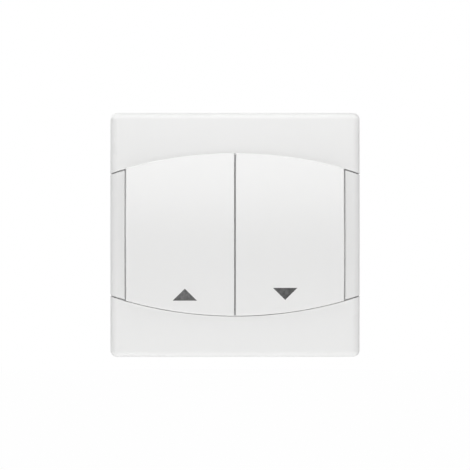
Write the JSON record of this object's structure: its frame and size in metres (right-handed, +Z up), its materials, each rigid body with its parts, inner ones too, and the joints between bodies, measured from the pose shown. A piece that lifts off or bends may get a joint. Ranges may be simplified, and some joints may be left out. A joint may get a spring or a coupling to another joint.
{
  "type": "roller shutter switch",
  "caption": "Square white flush wall switch for a roller shutter, with two arched keys marked with an up and a down arrow, clip-on side trims and a steel support frame.",
  "frame": {"origin": "centre of the fixing screw slots, on the wall's face", "axes": "+Y into the wall, +Z up the wall, +X to the right as seen from the front; the keys face -Y"},
  "size_m": [0.08, 0.0311, 0.0784],
  "materials": {
    "white_moulding": "satin moulded thermoplastic",
    "arrow_grey": "metallic grey marking",
    "cradle_moulding": "moulded",
    "plunger_moulding": "smooth acetal",
    "bearing_moulding": "moulded",
    "base_moulding": "moulded, fine spark-eroded texture",
    "zinc_sheet": "zinc plated",
    "screw_steel": "zinc plated",
    "spring_steel": "drawn wire",
    "contact_copper": "rolled copper strip",
    "contact_silver": "silver alloy",
    "terminal_brass": "machined"
  },
  "bodies": {
    "housing": {"cover_plate": "white_moulding", "side_trim_left": "white_moulding", "side_trim_right": "white_moulding", "bearing_frame": "bearing_moulding", "support_frame": "zinc_sheet", "switch_base": "base_moulding", "housing_screws": "screw_steel", "fixed_tips": "contact_silver", "line_strip": "contact_copper", "up_strip": "contact_copper", "down_strip": "contact_copper", "interlock_bar": "contact_copper", "line_terminal": "terminal_brass", "up_terminal": "terminal_brass", "down_terminal": "terminal_brass", "terminal_screws": "screw_steel", "return_spring_up": "spring_steel", "return_spring_down": "spring_steel"},
    "up_key": {"key_up": "white_moulding", "arrow_up": "arrow_grey", "cradle_up": "cradle_moulding", "plunger_spring_up": "spring_steel"},
    "up_plunger": {"plunger_up": "plunger_moulding"},
    "up_lever": {"contact_lever_up": "contact_copper", "lever_tips_up": "contact_silver"},
    "down_key": {"key_down": "white_moulding", "arrow_down": "arrow_grey", "cradle_down": "cradle_moulding", "plunger_spring_down": "spring_steel"},
    "down_plunger": {"plunger_down": "plunger_moulding"},
    "down_lever": {"contact_lever_down": "contact_copper", "lever_tips_down": "contact_silver"}
  },
  "joints": [
    {"name": "up_key_tilt", "type": "hinge", "parent": "housing", "child": "up_key", "pos_m": [-0.0101, -0.007, 0], "axis": [1, 0, 0], "range_deg": [0, 5], "stiffness_Nm_per_rad": 0.25, "springref_deg": -5.73, "deforming": ["return_spring_up"]},
    {"name": "up_plunger_slide", "type": "slide", "parent": "up_key", "child": "up_plunger", "axis": [0, -1, 0], "range_m": [0, 0.0006], "stiffness_N_per_m": 400, "springref_m": -0.002, "deforming": ["plunger_spring_up"]},
    {"name": "up_lever_tilt", "type": "hinge", "parent": "housing", "child": "up_lever", "pos_m": [-0.0101, 0.0086, 0.00053], "axis": [1, 0, 0], "range_deg": [-12, 0]},
    {"name": "down_key_tilt", "type": "hinge", "parent": "housing", "child": "down_key", "pos_m": [0.0101, -0.007, 0], "axis": [1, 0, 0], "range_deg": [0, 5], "stiffness_Nm_per_rad": 0.25, "springref_deg": -5.73, "deforming": ["return_spring_down"]},
    {"name": "down_plunger_slide", "type": "slide", "parent": "down_key", "child": "down_plunger", "axis": [0, -1, 0], "range_m": [0, 0.0006], "stiffness_N_per_m": 400, "springref_m": -0.002, "deforming": ["plunger_spring_down"]},
    {"name": "down_lever_tilt", "type": "hinge", "parent": "housing", "child": "down_lever", "pos_m": [0.0101, 0.0086, 0.00053], "axis": [1, 0, 0], "range_deg": [-12, 0]}
  ],
  "couplings": [
    {"joint": "up_lever_tilt", "follows": "up_key_tilt", "ratio": -2.4},
    {"joint": "down_lever_tilt", "follows": "down_key_tilt", "ratio": -2.4}
  ]
}
